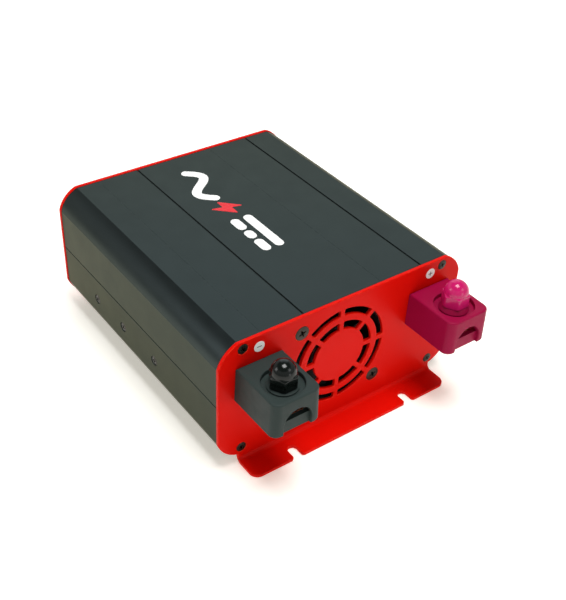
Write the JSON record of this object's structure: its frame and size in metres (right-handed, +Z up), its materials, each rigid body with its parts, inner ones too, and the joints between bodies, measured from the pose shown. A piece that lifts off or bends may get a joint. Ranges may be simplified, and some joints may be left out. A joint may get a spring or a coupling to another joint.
{
  "type": "power inverter",
  "caption": "Battery-to-mains power inverter: grey two-part case between red end plates with slotted feet, insulated stud terminals, fan grille, mains socket and rocker switch.",
  "frame": {"origin": "centre of the footprint, on the mounting surface under the feet", "axes": "+Y from the battery-terminal end to the mains-socket end, +X to the right seen from the terminal end, +Z up"},
  "size_m": [0.153, 0.2144, 0.0785],
  "materials": {
    "cover_grey": "matt anodised, dark blue-grey",
    "tray_grey": "matt anodised, dark warm grey",
    "plate_red": "semi-gloss powder coat, signal red",
    "screw_black": "blackened",
    "fan_black": "matt",
    "terminal_black": "matt moulded",
    "terminal_magenta": "matt moulded",
    "nut_black": "glossy dipped",
    "nut_magenta": "glossy dipped",
    "copper": "bare copper",
    "brass": "turned",
    "steel": "zinc plated",
    "board_green": "solder mask",
    "ferrite": "sintered",
    "winding_yellow": "taped copper winding",
    "capacitor_sleeve": "shrink sleeve",
    "fuse_yellow": "moulded",
    "aluminium": "extruded",
    "package_black": "moulded",
    "socket_black": "satin moulded",
    "rocker_black": "satin moulded",
    "light_green": "translucent"
  },
  "bodies": {
    "case": {"top_cover": "cover_grey", "base_tray": "tray_grey", "front_plate": "plate_red", "rear_plate": "plate_red", "fan_frame": "fan_black", "terminal_cover_negative": "terminal_black", "terminal_cover_positive": "terminal_magenta", "bus_bar_negative": "copper", "bus_bar_positive": "copper", "terminal_stud_negative": "steel", "terminal_stud_positive": "steel", "circuit_board": "board_green", "transformer_core_1": "ferrite", "transformer_core_2": "ferrite", "transformer_winding_1": "winding_yellow", "transformer_winding_2": "winding_yellow", "output_choke": "winding_yellow", "input_capacitor_1": "capacitor_sleeve", "input_capacitor_2": "capacitor_sleeve", "output_capacitor": "capacitor_sleeve", "input_fuse": "fuse_yellow", "heat_bar_left": "aluminium", "heat_bar_right": "aluminium", "ac_socket": "socket_black", "switch_body": "socket_black", "remote_port": "socket_black", "status_light": "light_green", "front_plate_screw_upper_left": "screw_black", "front_plate_screw_upper_right": "screw_black", "front_plate_screw_lower_left": "screw_black", "front_plate_screw_lower_right": "screw_black", "rear_plate_screw_upper_left": "screw_black", "rear_plate_screw_upper_right": "screw_black", "rear_plate_screw_lower_left": "screw_black", "rear_plate_screw_lower_right": "screw_black", "fan_screw_upper": "screw_black", "fan_screw_lower": "screw_black", "side_screw_left_1": "screw_black", "transistor_left_1": "package_black", "side_screw_left_2": "screw_black", "transistor_left_2": "package_black", "side_screw_left_3": "screw_black", "transistor_left_3": "package_black", "side_screw_right_1": "screw_black", "transistor_right_1": "package_black", "side_screw_right_2": "screw_black", "transistor_right_2": "package_black", "side_screw_right_3": "screw_black", "transistor_right_3": "package_black"},
    "fan_rotor": {"fan_rotor": "fan_black"},
    "negative_washer": {"terminal_washer_negative": "nut_black"},
    "negative_nut": {"cap_nut_negative": "nut_black", "nut_insert_negative": "brass"},
    "positive_washer": {"terminal_washer_positive": "nut_magenta"},
    "positive_nut": {"cap_nut_positive": "nut_magenta", "nut_insert_positive": "brass"},
    "rocker": {"switch_rocker": "rocker_black"}
  },
  "joints": [
    {"name": "fan_spin", "type": "hinge", "parent": "case", "child": "fan_rotor", "pos_m": [-0.0032, -0.07245, 0.0428], "axis": [0, -1, 0], "continuous": true},
    {"name": "switch_rock", "type": "hinge", "parent": "case", "child": "rocker", "pos_m": [0.009, 0.09225, 0.047], "axis": [1, 0, 0], "range_deg": [0, 24]},
    {"name": "negative_washer_rise", "type": "slide", "parent": "case", "child": "negative_washer", "axis": [0, 0, 1], "range_m": [0, 0.0125]},
    {"name": "negative_nut_turn", "type": "hinge", "parent": "negative_washer", "child": "negative_nut", "pos_m": [-0.0536, -0.09425, 0.064], "axis": [0, 0, 1], "range_deg": [0, 3600]},
    {"name": "positive_washer_rise", "type": "slide", "parent": "case", "child": "positive_washer", "axis": [0, 0, 1], "range_m": [0, 0.0125]},
    {"name": "positive_nut_turn", "type": "hinge", "parent": "positive_washer", "child": "positive_nut", "pos_m": [0.0548, -0.09425, 0.064], "axis": [0, 0, 1], "range_deg": [0, 3600]}
  ],
  "couplings": [
    {"joint": "negative_washer_rise", "follows": "negative_nut_turn", "m_per_rad": 0.00019894},
    {"joint": "positive_washer_rise", "follows": "positive_nut_turn", "m_per_rad": 0.00019894}
  ]
}
